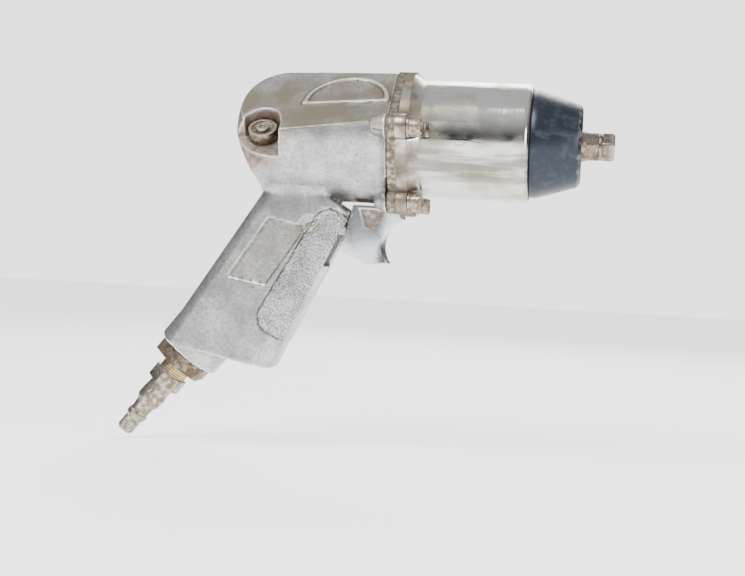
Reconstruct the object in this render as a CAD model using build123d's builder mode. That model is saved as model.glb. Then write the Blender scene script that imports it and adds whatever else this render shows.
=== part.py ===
"""Air impact wrench with a 3/8 inch square drive and a pistol grip.

X runs along the barrel and points out of the drive, Z is up and the grip hangs down and back.
The origin is the middle of the drive's end face, so the whole tool lies at negative X.
"""

import math
import os

from build123d import *

# Square drive and anvil
drive_side = 9.525
drive_length = 11.0
drive_corner = 1.3
anvil_shank_r = 7.15
anvil_cone_end_r = 6.1
anvil_collar_r = 10.0
anvil_body_r = 8.0
anvil_lug_r = 10.0
anvil_lug_width = 8.0
ring_groove_depth = 1.0
ring_width = 1.6
ring_x = -5.5

# Stations along the barrel
x_nose_front = -14.5
x_case_front = -36.5
x_flange_front = -89.0
flange_thickness = 4.6
plate_thickness = 3.8
plate_bore_r = 12.0
gasket_thickness = 0.5
x_rear = -169.0

# Nose cone
nose_front_r = 18.4
nose_rear_r = 23.9
nose_spigot_r = 15.0
nose_spigot_length = 5.2
bushing_r = 9.6
bushing_clearance = 0.05

# Hammer case
case_r = 26.6
case_bore_r = 23.4
case_front_wall = 5.5
case_front_fillet = 3.0

# Motor housing casting
housing_r = 29.5
motor_bore_r = 18.2
motor_bore_length = 46.0
facet_tilt = 42.0
facet_height_front = 23.6
facet_slope = 4.8
badge_x = -21.0
badge_base = -4.5
badge_half_width = 19.5
badge_rise = 19.5
badge_rim = 1.8
badge_height = 0.9
rear_fillet = 21.0
grip_half_width = 15.5
grip_rake = 32.0
grip_top_depth = 39.0
grip_bottom_depth = 53.0
grip_corner = 9.0

# Case screws: four socket cap screws, two at mid height and two below
screw_r = 2.5
screw_head_r = 4.25
screw_head_height = 5.0
screw_thread_length = 15.6
washer_r = 4.7
washer_thickness = 1.4
ear_r = 5.6
ear_depth = 6.4
ear_draft = 20.0
tapped_depth = 5.6
screw_places = [(-30.6, 2.5), (30.6, 2.5), (-13.8, -28.8), (13.8, -28.8)]

# Air motor
cylinder_r = 18.1
cylinder_bore_r = 15.2
cylinder_offset = 1.2
dowel_r = 0.8
dowel_offset = 16.1
end_plate_thickness = 6.0
rotor_r = 13.9
blade_count = 5
blade_thickness = 2.4
blade_height = 6.5
shaft_r = 5.0
bearing_outer_r = 11.0
bearing_width = 5.6
fit_gap = 0.05
motor_gap = 0.2

# Twin hammer mechanism
cage_r = 22.4
cage_disc_thickness = 4.0
hammer_outer_r = 15.4
hammer_bore_r = 11.9
hammer_thickness = 11.6
hammer_pin_r = 2.0
hammer_pin_offset = 17.8
hammer_lobe_r = 3.6

# Throttle: trigger, valve and cross pin share one axis parallel to the barrel
valve_z = -41.3
cross_pin_x = -133.0
cross_pin_r = 1.5
trigger_travel = 6.0
trigger_half_width = 7.5
valve_stem_r = 3.2
valve_sleeve_r = 7.0
x_sleeve_front = -126.0
sleeve_length = 15.5
x_stem_front = -118.0
valve_head_r = 5.4
valve_head_thickness = 3.0
x_chamber_end = -156.0
spring_wire_r = 0.4
spring_r = 3.6

# Regulator on the sloping facet
dial_x = -155.0
dial_offset = 14.4
dial_floor = 8.7
dial_r = 6.4
dial_height = 5.2
dial_recess_r = 8.2
dial_spindle_r = 4.0
dial_spindle_length = 14.0
knurl_count = 30

# Air inlet
inlet_rake = 38.0
inlet_x = -189.3
inlet_z = -102.5
inlet_boss_r = 15.3
bushing_hex_flats = 24.0
bushing_hex_thickness = 6.5
bushing_thread_r = 9.2
bushing_thread_length = 12.0
plug_hex_flats = 14.3
plug_hex_thickness = 6.9
plug_thread_shown = 5.5
plug_thread_hidden = 9.0
plug_bore_r = 2.6
plug_bore_length = 51.0
plug_thread_r = 6.4

x_case_rear = x_flange_front - flange_thickness
x_plate_rear = x_case_rear - plate_thickness
x_seam = x_plate_rear - gasket_thickness
x_motor_end = x_seam - motor_bore_length
x_front_end_plate = x_seam - end_plate_thickness
x_rear_end_plate = x_motor_end + 1.4

os.makedirs("parts", exist_ok=True)


def station(x):
    """Sketch plane across the barrel at x: its local x is +Y and its local y is +Z."""
    return Plane(origin=(x, 0, 0), x_dir=(0, 1, 0), z_dir=(1, 0, 0))


def finish(builder, name):
    """Label a finished sub-part and write it to its own file."""
    builder.part.label = name
    export_step(builder.part, f"parts/{name}.step")


# The facet's frame: its local z is the facet's outward normal, its local x is +X.
tilt = math.radians(facet_tilt)
facet_normal = Vector(0, -math.sin(tilt), math.cos(tilt))
facet_down = Vector(0, -math.cos(tilt), -math.sin(tilt))

# The inlet's frame: its local z points out of the grip along the hose plug.
rake = math.radians(inlet_rake)
inlet_dir = Vector(-math.sin(rake), 0, -math.cos(rake))


def facet_plane(x, down, height):
    """Plane parallel to the facet, through a point at x, moved down the slope and up its normal."""
    origin = Vector(x, 0, 0) + facet_down * down + facet_normal * height
    return Plane(origin=origin, x_dir=(1, 0, 0), z_dir=facet_normal)


def inlet_plane(distance):
    """Plane across the inlet axis at a distance out of the grip's end face."""
    origin = Vector(inlet_x, 0, inlet_z) + inlet_dir * distance
    return Plane(origin=origin, x_dir=(0, 1, 0), z_dir=inlet_dir)


def valve_plane(x):
    """Section plane across the throttle axis at x, facing backwards."""
    return Plane(origin=(x, 0, valve_z), x_dir=(0, 1, 0), z_dir=(-1, 0, 0))


def grip_plane(x, z):
    """Section plane across the grip through a point on its back: its local x points forward."""
    lean = math.radians(grip_rake)
    forward = (math.cos(lean), 0, -math.sin(lean))
    return Plane(origin=(x, 0, z), x_dir=forward, z_dir=(-math.sin(lean), 0, -math.cos(lean)))


# ---------------------------------------------------------------- motor housing
# One casting: round barrel, sloping facet with its badge, grip and inlet boss.
slope = math.radians(facet_slope)
facet_cut = Plane(
    origin=Vector(x_seam, 0, 0) + facet_normal * facet_height_front,
    x_dir=Vector(math.cos(slope), 0, 0) + facet_normal * math.sin(slope),
    z_dir=facet_normal * math.cos(slope) - Vector(math.sin(slope), 0, 0),
)
# the flanges in front of the seam carry the facet on, parallel to the barrel
facet_cut_front = facet_plane(x_seam, 0, facet_height_front + 0.8)

with BuildPart() as motor_housing:
    with BuildSketch(station(x_seam)):
        Circle(housing_r)
    extrude(amount=x_rear - x_seam)
    fillet(motor_housing.edges().group_by(Axis.X)[0], rear_fillet)
    # the barrel's back slopes down to the throat above the grip
    with BuildSketch(Plane.XZ.offset(-housing_r - 1)):
        with BuildLine():
            Polyline([(-168, -1.5), (-152.5, -34), (-180, -34), (-180, -1.5)], close=True)
        make_face()
    extrude(amount=2 * housing_r + 2, mode=Mode.SUBTRACT)
    # grip: two rounded sections lofted from inside the barrel, then cut off below
    with BuildSketch(grip_plane(-148.0, -14.0)):
        with Locations((grip_top_depth / 2, 0)):
            RectangleRounded(grip_top_depth, 2 * grip_half_width, grip_corner)
    with BuildSketch(grip_plane(-208.0, -108.5)):
        with Locations((grip_bottom_depth / 2, 0)):
            RectangleRounded(grip_bottom_depth, 2 * grip_half_width, grip_corner)
    loft()
    with BuildSketch(Plane.XZ.offset(-30)):
        with BuildLine():
            Polyline([(-205, -86), (-197.5, -97.5), (-145, -108), (-110, -108), (-110, -140), (-230, -140)], close=True)
        make_face()
    extrude(amount=60, mode=Mode.SUBTRACT)
    # boss round the inlet thread
    with BuildSketch(inlet_plane(0)):
        Circle(inlet_boss_r)
    extrude(amount=-26)
    with BuildSketch(inlet_plane(0)):
        Circle(24)
    extrude(amount=20, mode=Mode.SUBTRACT)
    # sloping facet
    with BuildSketch(facet_cut):
        Rectangle(200, 90)
    extrude(amount=40, mode=Mode.SUBTRACT)
    # screw ears: short bosses behind the seam
    with BuildSketch(station(x_seam)):
        with Locations(*screw_places):
            Circle(ear_r)
    extrude(amount=-ear_depth, taper=ear_draft)
    # raised arched badge on the facet
    with BuildSketch(facet_cut):
        with Locations((badge_x, badge_base)):
            Ellipse(badge_half_width, badge_rise)
        with Locations((badge_x, badge_base - badge_rise / 2)):
            Rectangle(2 * badge_half_width, badge_rise, mode=Mode.SUBTRACT)
    extrude(amount=badge_height)
    # sunk arch inside the badge's rim
    with BuildSketch(facet_cut):
        with Locations((badge_x, badge_base + badge_rim)):
            Ellipse(badge_half_width - badge_rim, badge_rise - 2 * badge_rim)
        with Locations((badge_x, badge_base + badge_rim - badge_rise / 2)):
            Rectangle(2 * badge_half_width, badge_rise, mode=Mode.SUBTRACT)
    extrude(amount=badge_height + 0.1, mode=Mode.SUBTRACT)
    # regulator recess, open to the side and at the back
    with BuildSketch(facet_plane(dial_x, dial_offset, dial_floor)):
        Circle(dial_recess_r)
        with Locations((1.0 - dial_recess_r, -12)):
            Rectangle(4 * dial_recess_r, 24)
    extrude(amount=30, mode=Mode.SUBTRACT)
    with BuildSketch(facet_plane(dial_x, dial_offset, dial_floor)):
        Circle(dial_spindle_r + fit_gap)
    extrude(amount=-dial_spindle_length - 0.5, mode=Mode.SUBTRACT)
    # motor bore
    with BuildSketch(station(x_seam)):
        Circle(motor_bore_r)
    extrude(amount=-motor_bore_length, mode=Mode.SUBTRACT)
    # tapped holes for the case screws
    with BuildSketch(station(x_seam)):
        with Locations(*screw_places):
            Circle(screw_r)
    extrude(amount=-tapped_depth, mode=Mode.SUBTRACT)
    # pocket for the trigger in the front of the grip
    with BuildSketch(Plane.XZ.offset(-trigger_half_width - 0.6)):
        with BuildLine():
            Polyline([(-98, -30.2), (-122.5, -30.2), (-134, -59), (-98, -59)], close=True)
        make_face()
    extrude(amount=2 * trigger_half_width + 1.2, mode=Mode.SUBTRACT)
    # valve chamber and its cross pin
    with BuildSketch(valve_plane(-118)):
        Circle(valve_sleeve_r)
    extrude(amount=-118 - x_chamber_end, mode=Mode.SUBTRACT)
    with BuildSketch(Plane.XZ.offset(-20)):
        with Locations((cross_pin_x, valve_z)):
            Circle(cross_pin_r)
    extrude(amount=40, mode=Mode.SUBTRACT)
    with BuildSketch(Plane.XZ.offset(grip_half_width - 1.2)):
        with Locations((cross_pin_x, valve_z)):
            Circle(4.4)
    extrude(amount=10, mode=Mode.SUBTRACT)
    # inlet thread and air passage up to the valve chamber
    with BuildSketch(inlet_plane(0)):
        Circle(bushing_thread_r)
    extrude(amount=-bushing_thread_length - 6, mode=Mode.SUBTRACT)
    with BuildSketch(inlet_plane(-bushing_thread_length)):
        Circle(5)
    extrude(amount=-64, mode=Mode.SUBTRACT)
finish(motor_housing, "motor_housing")

# ---------------------------------------------------------------- joint plate and gaskets
with BuildPart() as housing_gasket:
    with BuildSketch(station(x_seam)):
        Circle(housing_r - 0.3)
    extrude(amount=gasket_thickness)
    split(bisect_by=facet_cut_front, keep=Keep.BOTTOM)
    with BuildSketch(station(x_seam)):
        with Locations(*screw_places):
            Circle(ear_r - 0.3)
    extrude(amount=gasket_thickness)
    with BuildSketch(station(x_seam)):
        Circle(motor_bore_r)
        with Locations(*screw_places):
            Circle(screw_r + 0.3)
    extrude(amount=gasket_thickness, mode=Mode.SUBTRACT)
finish(housing_gasket, "housing_gasket")

with BuildPart() as joint_plate:
    with BuildSketch(station(x_plate_rear)):
        Circle(housing_r + 0.6)
    extrude(amount=plate_thickness)
    split(bisect_by=facet_cut_front, keep=Keep.BOTTOM)
    with BuildSketch(station(x_plate_rear)):
        with Locations(*screw_places):
            Circle(ear_r)
    extrude(amount=plate_thickness)
    with BuildSketch(station(x_plate_rear)):
        Circle(plate_bore_r)
        with Locations(*screw_places):
            Circle(screw_r + 0.3)
    extrude(amount=plate_thickness, mode=Mode.SUBTRACT)
finish(joint_plate, "joint_plate")

# ---------------------------------------------------------------- hammer case
# Turned steel shell with a flange; scallops beside the screws clear their heads.
with BuildPart() as hammer_case:
    with BuildSketch(station(x_case_rear)):
        Circle(housing_r + 0.6)
    extrude(amount=flange_thickness)
    split(bisect_by=facet_cut_front, keep=Keep.BOTTOM)
    with BuildSketch(station(x_case_rear)):
        with Locations(*screw_places):
            Circle(ear_r)
    extrude(amount=flange_thickness)
    with BuildSketch(station(x_flange_front)):
        Circle(housing_r)
    extrude(amount=5.0, taper=30)
    with BuildSketch(station(x_case_rear)):
        Circle(case_r)
    extrude(amount=x_case_front - x_case_rear)
    fillet(hammer_case.edges().group_by(Axis.X)[-1], case_front_fillet)
    with BuildSketch(station(x_case_rear)):
        Circle(case_bore_r)
    extrude(amount=x_case_front - case_front_wall - x_case_rear, mode=Mode.SUBTRACT)
    with BuildSketch(station(x_case_front)):
        Circle(nose_spigot_r)
    extrude(amount=-10, mode=Mode.SUBTRACT)
    with BuildSketch(station(x_case_rear)):
        with Locations(*screw_places):
            Circle(screw_r + 0.3)
    extrude(amount=flange_thickness, mode=Mode.SUBTRACT)
    with BuildSketch(station(x_flange_front)):
        with Locations(*screw_places):
            Circle(ear_r - 0.3)
    extrude(amount=9, mode=Mode.SUBTRACT)
finish(hammer_case, "hammer_case")

# ---------------------------------------------------------------- nose and its bushing
with BuildPart() as nose_cone:
    with BuildSketch(Plane.XZ):
        with BuildLine():
            Polyline(
                [
                    (x_nose_front, bushing_r),
                    (x_nose_front, nose_front_r - 2),
                    (x_nose_front - 1.2, nose_front_r),
                    (x_case_front + 3, nose_rear_r),
                    (x_case_front, nose_rear_r),
                    (x_case_front, nose_spigot_r - fit_gap),
                    (x_case_front - nose_spigot_length, nose_spigot_r - fit_gap),
                    (x_case_front - nose_spigot_length, bushing_r),
                ],
                close=True,
            )
        make_face()
    revolve(axis=Axis.X)
finish(nose_cone, "nose_cone")

x_bushing_front = x_nose_front - 0.6
with BuildPart() as anvil_bushing:
    with BuildSketch(station(x_bushing_front)):
        Circle(bushing_r)
        Circle(anvil_shank_r + bushing_clearance, mode=Mode.SUBTRACT)
    extrude(amount=x_case_front - nose_spigot_length - x_bushing_front)
finish(anvil_bushing, "anvil_bushing")

# ---------------------------------------------------------------- anvil, its ring and O-ring
x_collar_front = x_case_front - nose_spigot_length - 1.2
x_collar_rear = x_collar_front - 2.6
x_cage_front = x_collar_rear - 0.6
x_front_hammer = x_cage_front - cage_disc_thickness - 0.3
x_mid_disc = x_front_hammer - hammer_thickness - 0.3
x_rear_hammer = x_mid_disc - cage_disc_thickness - 0.3
x_rear_disc = x_rear_hammer - hammer_thickness - 0.3
x_anvil_rear = x_rear_disc + 0.6

with BuildPart() as anvil:
    with BuildSketch(station(x_anvil_rear)):
        Circle(anvil_body_r)
    extrude(amount=x_collar_front - x_anvil_rear)
    with BuildSketch(station(x_collar_rear)):
        Circle(anvil_collar_r)
    extrude(amount=x_collar_front - x_collar_rear)
    with BuildSketch(station(x_collar_front)):
        Circle(anvil_shank_r)
    extrude(amount=-drive_length - 4 - x_collar_front)
    with BuildSketch(station(-drive_length - 4)):
        Circle(anvil_shank_r)
    with BuildSketch(station(-drive_length)):
        Circle(anvil_cone_end_r)
    loft()
    with BuildSketch(station(-drive_length - 2)):
        RectangleRounded(drive_side, drive_side, drive_corner, rotation=40)
    extrude(amount=drive_length + 2)
    chamfer(anvil.edges().group_by(Axis.X)[-1], 0.9)
    with BuildSketch(station(x_front_hammer - hammer_thickness)):
        with Locations((0, -anvil_lug_r / 2)):
            Rectangle(anvil_lug_width, anvil_lug_r)
    extrude(amount=hammer_thickness)
    with BuildSketch(station(x_rear_hammer - hammer_thickness)):
        with Locations((0, anvil_lug_r / 2)):
            Rectangle(anvil_lug_width, anvil_lug_r)
    extrude(amount=hammer_thickness)
    with BuildSketch(station(ring_x - ring_width)):
        Circle(drive_side)
        Circle(drive_side / 2 - 0.1, mode=Mode.SUBTRACT)
    extrude(amount=ring_width, mode=Mode.SUBTRACT)
    with BuildSketch(station(x_anvil_rear)):
        Circle(3.0)
    extrude(amount=8, mode=Mode.SUBTRACT)
finish(anvil, "anvil")

# Split ring that grips a socket, on the O-ring that pushes it outwards.
with BuildPart() as socket_o_ring:
    with BuildSketch(station(ring_x - ring_width + 0.1)):
        Circle(drive_side / 2 + 0.35)
        Circle(drive_side / 2 - 0.1, mode=Mode.SUBTRACT)
    extrude(amount=ring_width - 0.2)
finish(socket_o_ring, "socket_o_ring")

with BuildPart() as socket_ring:
    with BuildSketch(station(ring_x - ring_width + 0.1)):
        Circle(drive_side / 2 + 1.15)
        Circle(drive_side / 2 + 0.35, mode=Mode.SUBTRACT)
        with Locations((0, 6)):
            Rectangle(1.2, 6, mode=Mode.SUBTRACT)
    extrude(amount=ring_width - 0.2)
finish(socket_ring, "socket_ring")

# ---------------------------------------------------------------- twin hammers and their cage
cage_floor_x = x_rear_disc - cage_disc_thickness
with BuildPart() as hammer_cage:
    with BuildSketch(station(x_cage_front)):
        Circle(cage_r)
        Circle(anvil_body_r + 0.4, mode=Mode.SUBTRACT)
    extrude(amount=-cage_disc_thickness)
    with BuildSketch(station(x_mid_disc)):
        Circle(cage_r)
        Circle(anvil_body_r + 0.4, mode=Mode.SUBTRACT)
    extrude(amount=-cage_disc_thickness)
    with BuildSketch(station(x_rear_disc)):
        Circle(cage_r)
        RegularPolygon(radius=4.2, side_count=6, mode=Mode.SUBTRACT)
    extrude(amount=-cage_disc_thickness)
    with BuildSketch(station(cage_floor_x)):
        Circle(cage_r)
        Circle(cage_r - 3.0, mode=Mode.SUBTRACT)
        Rectangle(24, 60, mode=Mode.SUBTRACT)
    extrude(amount=x_cage_front - cage_floor_x)
    with BuildSketch(station(cage_floor_x)):
        with Locations((0, hammer_pin_offset), (0, -hammer_pin_offset)):
            Circle(hammer_pin_r)
    extrude(amount=x_cage_front - cage_floor_x, mode=Mode.SUBTRACT)
finish(hammer_cage, "hammer_cage")

with BuildPart() as hammer_pins:
    with BuildSketch(station(cage_floor_x + 0.3)):
        with Locations((0, hammer_pin_offset), (0, -hammer_pin_offset)):
            Circle(hammer_pin_r)
    extrude(amount=x_cage_front - cage_floor_x - 0.6)
finish(hammer_pins, "hammer_pins")

for hammer_name, hammer_x, pin_side in (
    ("front_hammer", x_front_hammer, 1),
    ("rear_hammer", x_rear_hammer, -1),
):
    with BuildPart() as hammer:
        with BuildSketch(station(hammer_x)):
            Circle(hammer_outer_r)
            with Locations((0, pin_side * hammer_pin_offset)):
                Circle(hammer_lobe_r)
            with Locations((0, pin_side * (hammer_pin_offset - 2.5))):
                Rectangle(2 * hammer_lobe_r, 5)
            Circle(hammer_bore_r, mode=Mode.SUBTRACT)
            with Locations((0, pin_side * hammer_pin_offset)):
                Circle(hammer_pin_r + fit_gap, mode=Mode.SUBTRACT)
        extrude(amount=-hammer_thickness)
    finish(hammer, hammer_name)

# ---------------------------------------------------------------- case screws
with BuildPart() as case_screws:
    head_x = x_flange_front + washer_thickness
    with BuildSketch(station(head_x)):
        with Locations(*screw_places):
            Circle(screw_head_r)
    extrude(amount=screw_head_height)
    chamfer(case_screws.edges().group_by(Axis.X)[-1], 0.4)
    with BuildSketch(station(head_x)):
        with Locations(*screw_places):
            Circle(screw_r - 0.02)
    extrude(amount=-screw_thread_length)
    with BuildSketch(station(head_x + screw_head_height)):
        with Locations(*screw_places):
            RegularPolygon(radius=2.3, side_count=6)
    extrude(amount=-3, mode=Mode.SUBTRACT)
finish(case_screws, "case_screws")

with BuildPart() as lock_washers:
    with BuildSketch(station(x_flange_front)):
        with Locations(*screw_places):
            Circle(washer_r)
        with Locations(*screw_places):
            Circle(screw_r + 0.15, mode=Mode.SUBTRACT)
        with Locations(*[(y, z + 3.5) for y, z in screw_places]):
            Rectangle(0.8, 4, mode=Mode.SUBTRACT)
    extrude(amount=washer_thickness)
finish(lock_washers, "lock_washers")

# ---------------------------------------------------------------- air motor
x_cylinder_front = x_front_end_plate
x_cylinder_rear = x_rear_end_plate + end_plate_thickness
with BuildPart() as motor_cylinder:
    with BuildSketch(station(x_cylinder_rear)):
        Circle(cylinder_r)
        with Locations((0, -cylinder_offset)):
            Circle(cylinder_bore_r, mode=Mode.SUBTRACT)
        with Locations((0, dowel_offset)):
            Circle(dowel_r, mode=Mode.SUBTRACT)
    extrude(amount=x_cylinder_front - x_cylinder_rear)
    # exhaust slots through the wall on the side away from the facet
    with BuildSketch(Plane.XZ.offset(-10)):
        with Locations(*[(x_cylinder_rear + 8 + 5 * k, -cylinder_offset) for k in range(4)]):
            Rectangle(2.2, 12)
    extrude(amount=-20, mode=Mode.SUBTRACT)
finish(motor_cylinder, "motor_cylinder")

for plate_name, plate_x, plate_length in (
    ("front_end_plate", x_front_end_plate, end_plate_thickness),
    ("rear_end_plate", x_rear_end_plate, end_plate_thickness),
):
    with BuildPart() as end_plate:
        with BuildSketch(station(plate_x)):
            Circle(cylinder_r)
            Circle(bearing_outer_r, mode=Mode.SUBTRACT)
            with Locations((0, dowel_offset)):
                Circle(dowel_r, mode=Mode.SUBTRACT)
        extrude(amount=plate_length)
    finish(end_plate, plate_name)

with BuildPart() as dowel_pin:
    with BuildSketch(station(x_rear_end_plate + 1)):
        with Locations((0, dowel_offset)):
            Circle(dowel_r)
    extrude(amount=x_seam - x_rear_end_plate - 2)
finish(dowel_pin, "dowel_pin")

with BuildPart() as end_washer:
    with BuildSketch(station(x_motor_end + 0.1)):
        Circle(motor_bore_r - 0.6)
        Circle(motor_bore_r - 3.6, mode=Mode.SUBTRACT)
    extrude(amount=1.2)
finish(end_washer, "end_washer")

# Ball bearings: outer ring in the end plate, inner ring on the shaft, balls between them.
ball_r = 1.5
ball_track_r = 8.0
ball_count = 8
for bearing_name, bearing_x in (
    ("front_bearing", x_front_end_plate + 0.2),
    ("rear_bearing", x_rear_end_plate + 0.2),
):
    mid = bearing_x + bearing_width / 2
    with BuildPart() as outer_ring:
        with BuildSketch(station(bearing_x)):
            Circle(bearing_outer_r)
            Circle(ball_track_r + 1.0, mode=Mode.SUBTRACT)
        extrude(amount=bearing_width)
        with Locations((mid, 0, 0)):
            Torus(ball_track_r, ball_r + fit_gap, rotation=(0, 90, 0), mode=Mode.SUBTRACT)
    finish(outer_ring, bearing_name + "_outer")
    with BuildPart() as inner_ring:
        with BuildSketch(station(bearing_x)):
            Circle(ball_track_r - 1.0)
            Circle(shaft_r, mode=Mode.SUBTRACT)
        extrude(amount=bearing_width)
        with Locations((mid, 0, 0)):
            Torus(ball_track_r, ball_r + fit_gap, rotation=(0, 90, 0), mode=Mode.SUBTRACT)
    finish(inner_ring, bearing_name + "_inner")
    with BuildPart() as balls:
        with Locations(station(mid)):
            with PolarLocations(ball_track_r, ball_count):
                Sphere(ball_r)
    finish(balls, bearing_name + "_balls")

with BuildPart() as rotor:
    with BuildSketch(station(x_cylinder_rear + motor_gap)):
        Circle(rotor_r)
        with PolarLocations(rotor_r, blade_count, start_angle=90):
            with Locations((-blade_height / 2, 0)):
                Rectangle(blade_height + 1.5, blade_thickness, mode=Mode.SUBTRACT)
    extrude(amount=x_cylinder_front - x_cylinder_rear - 2 * motor_gap)
    with BuildSketch(station(x_rear_end_plate)):
        Circle(shaft_r)
    extrude(amount=cage_floor_x - 1 - x_rear_end_plate)
    with BuildSketch(station(cage_floor_x - 2)):
        RegularPolygon(radius=4.1, side_count=6)
    extrude(amount=cage_disc_thickness + 1.5)
finish(rotor, "rotor")

with BuildPart() as rotor_blades:
    with BuildSketch(station(x_cylinder_rear + motor_gap)):
        with PolarLocations(rotor_r, blade_count, start_angle=90):
            with Locations((-blade_height / 2, 0)):
                Rectangle(blade_height - 0.2, blade_thickness - 0.2)
    extrude(amount=x_cylinder_front - x_cylinder_rear - 2 * motor_gap)
finish(rotor_blades, "rotor_blades")

# ---------------------------------------------------------------- trigger and throttle valve
trigger_top_z = -30.9
with BuildPart() as trigger:
    with BuildSketch(Plane.XZ.offset(-trigger_half_width)):
        with BuildLine():
            l1 = Polyline(
                [
                    (-98.0, -56.5),
                    (-106.5, -57.5),
                    (-119.0, -52.5),
                    (-118.0, -46.0),
                    (-114.6, trigger_top_z),
                    (-93.5, trigger_top_z),
                    (-92.2, -36.5),
                ]
            )
            ThreePointArc(l1 @ 1, (-100.8, -46.5), l1 @ 0)
        make_face()
    extrude(amount=2 * trigger_half_width)
    fillet(trigger.edges().filter_by(Axis.Y).sort_by(Axis.X)[-2:], 0.8)
    # hollow triangles in both cheeks
    for side in (-1, 1):
        with BuildSketch(Plane.XZ.offset(-side * (trigger_half_width - 1.6))):
            with BuildLine():
                Polyline([(-111.0, -32.8), (-99.5, -32.8), (-104.5, -41.5), (-108.5, -40.5)], close=True)
            make_face()
        extrude(amount=-side * 3, mode=Mode.SUBTRACT)
finish(trigger, "trigger")

x_valve_head = x_sleeve_front - sleeve_length - 0.2
with BuildPart() as valve_sleeve:
    with BuildSketch(valve_plane(x_sleeve_front)):
        Circle(valve_sleeve_r)
        Circle(valve_stem_r + fit_gap, mode=Mode.SUBTRACT)
    extrude(amount=sleeve_length)
    with BuildSketch(Plane.XZ.offset(-10)):
        with Locations((cross_pin_x, valve_z)):
            Circle(cross_pin_r)
    extrude(amount=20, mode=Mode.SUBTRACT)
finish(valve_sleeve, "valve_sleeve")

with BuildPart() as throttle_valve:
    with BuildSketch(valve_plane(x_stem_front)):
        Circle(valve_stem_r)
    extrude(amount=x_stem_front - x_valve_head)
    with BuildSketch(valve_plane(x_valve_head)):
        Circle(valve_head_r)
    extrude(amount=valve_head_thickness)
    with BuildSketch(Plane.XZ.offset(-10)):
        with Locations((cross_pin_x + trigger_travel / 2, valve_z)):
            SlotOverall(trigger_travel + 2 * cross_pin_r + 0.4, 2 * cross_pin_r + 0.2)
    extrude(amount=20, mode=Mode.SUBTRACT)
finish(throttle_valve, "throttle_valve")

with BuildPart() as cross_pin:
    with BuildSketch(Plane.XZ.offset(-14.2)):
        with Locations((cross_pin_x, valve_z)):
            Circle(cross_pin_r)
    extrude(amount=28.4)
finish(cross_pin, "cross_pin")

with BuildPart() as valve_spring:
    with BuildLine() as spring_wire:
        Helix(
            pitch=2.2,
            height=x_valve_head - valve_head_thickness - x_chamber_end - 2 * spring_wire_r - 0.2,
            radius=spring_r,
            center=(x_chamber_end + spring_wire_r + 0.1, 0, valve_z),
            direction=(1, 0, 0),
        )
    with BuildSketch(Plane(origin=spring_wire.line @ 0, z_dir=spring_wire.line % 0)):
        Circle(spring_wire_r)
    sweep(is_frenet=True)
finish(valve_spring, "valve_spring")

# ---------------------------------------------------------------- regulator
with BuildPart() as regulator_dial:
    with BuildSketch(facet_plane(dial_x, dial_offset, dial_floor + 0.4)):
        Circle(dial_r)
        with PolarLocations(dial_r, knurl_count):
            RegularPolygon(radius=0.45, side_count=3, mode=Mode.SUBTRACT)
    extrude(amount=dial_height)
    with BuildSketch(facet_plane(dial_x, dial_offset, dial_floor + 0.4 + dial_height)):
        Circle(dial_r - 1.3)
    extrude(amount=-0.7, mode=Mode.SUBTRACT)
    with BuildSketch(facet_plane(dial_x, dial_offset, dial_floor + 0.4)):
        Circle(dial_spindle_r)
    extrude(amount=-dial_spindle_length)
    with BuildSketch(facet_plane(dial_x, dial_offset, dial_floor + 0.4 + dial_height)):
        Circle(1.6)
    extrude(amount=-8, mode=Mode.SUBTRACT)
finish(regulator_dial, "regulator_dial")

with BuildPart() as dial_screw:
    with BuildSketch(facet_plane(dial_x, dial_offset, dial_floor - 0.3 + dial_height)):
        Circle(2.9)
    extrude(amount=1.3)
    with BuildSketch(facet_plane(dial_x, dial_offset, dial_floor - 0.3 + dial_height)):
        Circle(1.58)
    extrude(amount=-6.5)
    with BuildSketch(facet_plane(dial_x, dial_offset, dial_floor + 1.0 + dial_height)):
        RegularPolygon(radius=1.5, side_count=6)
    extrude(amount=-1.0, mode=Mode.SUBTRACT)
finish(dial_screw, "dial_screw")

# ---------------------------------------------------------------- air inlet
with BuildPart() as inlet_bushing:
    with BuildSketch(inlet_plane(0.6)):
        RegularPolygon(radius=bushing_hex_flats / 2, side_count=6, major_radius=False)
    extrude(amount=bushing_hex_thickness)
    with BuildSketch(inlet_plane(0.6)):
        Circle(bushing_thread_r)
    extrude(amount=-bushing_thread_length)
    with BuildSketch(inlet_plane(0.6 + bushing_hex_thickness)):
        Circle(plug_thread_r)
    extrude(amount=-bushing_hex_thickness - bushing_thread_length, mode=Mode.SUBTRACT)
finish(inlet_bushing, "inlet_bushing")

with BuildPart() as inlet_washer:
    with BuildSketch(inlet_plane(0)):
        Circle(13.0)
        Circle(bushing_thread_r, mode=Mode.SUBTRACT)
    extrude(amount=0.6)
finish(inlet_washer, "inlet_washer")

with BuildPart() as inlet_screen:
    with BuildSketch(inlet_plane(-bushing_thread_length + 0.6)):
        Circle(plug_thread_r - 0.2)
        with GridLocations(2.2, 2.2, 4, 4):
            Circle(0.7, mode=Mode.SUBTRACT)
    extrude(amount=1.0)
finish(inlet_screen, "inlet_screen")

plug_start = 0.6 + bushing_hex_thickness
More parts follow.
